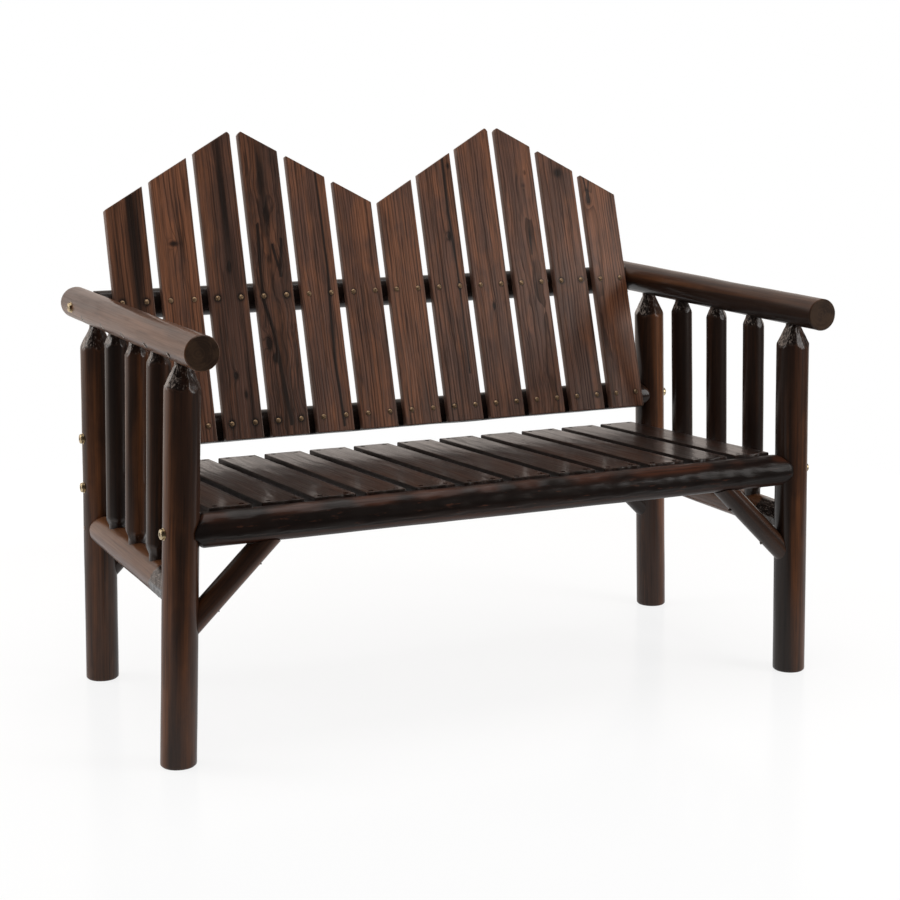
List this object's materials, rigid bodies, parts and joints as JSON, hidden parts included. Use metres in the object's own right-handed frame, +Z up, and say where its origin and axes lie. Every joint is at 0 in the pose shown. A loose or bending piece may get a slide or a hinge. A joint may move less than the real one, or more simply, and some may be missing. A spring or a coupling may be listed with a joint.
{
  "type": "garden bench",
  "caption": "Rustic log bench for two: round log frame with armrests, slatted seat and a leaning slatted back with a twin-peaked top.",
  "frame": {"origin": "on the floor, under the middle of the bench", "axes": "+X along the seat, to the viewer's right from the front; -Y towards the front, where the sitter faces; +Z up"},
  "size_m": [1.2688, 0.74, 1.003],
  "materials": {
    "logs": "dark charred brown under a satin varnish",
    "back_boards": "red-brown charred boards with open grain, satin varnish",
    "seat_boards": "near-black brown, glossy varnish",
    "brass_fasteners": "brass-plated, slightly dulled",
    "nut_steel": "zinc-plated, unpolished",
    "dark_screws": "dark bronzed"
  },
  "bodies": {
    "root": {"armrest_bolts": "brass_fasteners", "armrest_screws": "dark_screws", "back_slat_01": "back_boards", "back_slat_02": "back_boards", "back_slat_03": "back_boards", "back_slat_04": "back_boards", "back_slat_05": "back_boards", "back_slat_06": "back_boards", "back_slat_07": "back_boards", "back_slat_08": "back_boards", "back_slat_09": "back_boards", "back_slat_10": "back_boards", "back_slat_11": "back_boards", "back_slat_12": "back_boards", "barrel_nuts": "nut_steel", "bolt_washers": "brass_fasteners", "brace_screws": "dark_screws", "front_left_brace": "logs", "front_left_leg": "logs", "front_right_brace": "logs", "front_right_leg": "logs", "front_seat_rail": "logs", "front_seat_rail_bolts": "brass_fasteners", "front_seat_slat_screws": "dark_screws", "left_armrest": "logs", "left_front_spindle": "logs", "left_middle_spindle": "logs", "left_rear_spindle": "logs", "left_side_rail": "logs", "lower_back_rail": "logs", "lower_back_rail_bolts": "brass_fasteners", "lower_back_slat_screws": "brass_fasteners", "rear_left_brace": "logs", "rear_left_leg": "logs", "rear_right_brace": "logs", "rear_right_leg": "logs", "rear_seat_rail": "logs", "rear_seat_rail_bolts": "brass_fasteners", "rear_seat_slat_screws": "dark_screws", "right_armrest": "logs", "right_front_spindle": "logs", "right_middle_spindle": "logs", "right_rear_spindle": "logs", "right_side_rail": "logs", "seat_slat_01": "seat_boards", "seat_slat_02": "seat_boards", "seat_slat_03": "seat_boards", "seat_slat_04": "seat_boards", "seat_slat_05": "seat_boards", "seat_slat_06": "seat_boards", "seat_slat_07": "seat_boards", "seat_slat_08": "seat_boards", "seat_slat_09": "seat_boards", "seat_slat_10": "seat_boards", "seat_slat_11": "seat_boards", "seat_slat_12": "seat_boards", "side_rail_screws": "dark_screws", "upper_back_rail": "logs", "upper_back_slat_screws": "brass_fasteners"}
  },
  "joints": []
}
